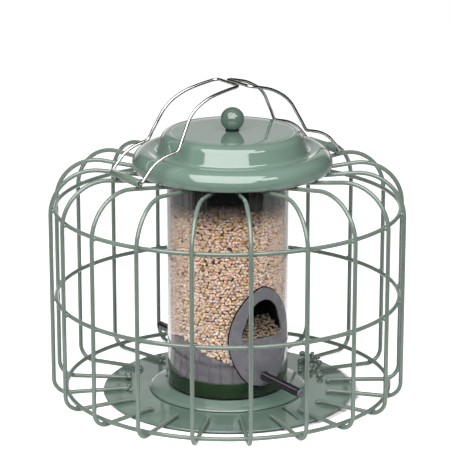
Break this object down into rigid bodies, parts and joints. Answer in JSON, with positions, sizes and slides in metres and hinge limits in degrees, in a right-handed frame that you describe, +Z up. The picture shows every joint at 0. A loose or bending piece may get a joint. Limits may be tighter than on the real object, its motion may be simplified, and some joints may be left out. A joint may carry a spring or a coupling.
{
  "type": "seed bird feeder",
  "caption": "Caged seed feeder: clear seed tube with two ports and perches on a round tray, inside a cage of coated wire, with a lift-off lid and two locking bails.",
  "frame": {"origin": "bottom centre, on the surface that the tray's rim stands on", "axes": "+Z up; the front port faces -Y, the rear port +Y; the bails hinge at -X and +X"},
  "size_m": [0.2644, 0.2644, 0.2415],
  "materials": {
    "green_enamel": "gloss",
    "bright_steel": "polished",
    "clear_plastic": "gloss",
    "grey_plastic": "satin",
    "dark_plastic": "satin",
    "green_plastic": "satin",
    "seed_mix": "matte"
  },
  "bodies": {
    "feeder": {"upright_wire_01": "green_enamel", "upright_wire_02": "green_enamel", "upright_wire_03": "green_enamel", "upright_wire_04": "green_enamel", "upright_wire_05": "green_enamel", "upright_wire_06": "green_enamel", "upright_wire_07": "green_enamel", "upright_wire_08": "green_enamel", "upright_wire_09": "green_enamel", "upright_wire_10": "green_enamel", "upright_wire_11": "green_enamel", "upright_wire_12": "green_enamel", "upright_wire_13": "green_enamel", "upright_wire_14": "green_enamel", "upright_wire_15": "green_enamel", "upright_wire_16": "green_enamel", "upright_wire_17": "green_enamel", "upright_wire_18": "green_enamel", "upright_wire_19": "green_enamel", "upright_wire_20": "green_enamel", "upper_hoop": "green_enamel", "middle_hoop": "green_enamel", "bottom_hoop": "green_enamel", "top_ring": "green_enamel", "tray": "green_enamel", "base_disc": "green_enamel", "base_screw": "bright_steel", "base_cup": "green_plastic", "seed_divider": "grey_plastic", "seed_tube": "clear_plastic", "seed_fill": "seed_mix", "filling_collar": "grey_plastic", "front_port": "grey_plastic", "rear_port": "grey_plastic", "front_perch": "dark_plastic", "rear_perch": "dark_plastic", "left_pivot_tube": "green_enamel", "right_pivot_tube": "green_enamel"},
    "lid": {"lid_shell": "green_enamel", "lid_knob": "green_enamel", "knob_washer": "dark_plastic", "knob_screw": "bright_steel"},
    "left_bail": {"left_bail": "bright_steel"},
    "right_bail": {"right_bail": "bright_steel"}
  },
  "joints": [
    {"name": "left_bail_hinge", "type": "hinge", "parent": "feeder", "child": "left_bail", "pos_m": [-0.0885, 0, 0.18059], "axis": [0, -1, 0], "range_deg": [0, 140]},
    {"name": "right_bail_hinge", "type": "hinge", "parent": "feeder", "child": "right_bail", "pos_m": [0.0885, 0, 0.18059], "axis": [0, 1, 0], "range_deg": [0, 140]},
    {"name": "lid_lift", "type": "slide", "parent": "feeder", "child": "lid", "axis": [0, 0, 1], "range_m": [0, 0.06]}
  ],
  "couplings": [
    {"joint": "right_bail_hinge", "follows": "left_bail_hinge", "ratio": 1},
    {"joint": "lid_lift", "follows": "left_bail_hinge", "m_per_rad": 0.0245}
  ]
}
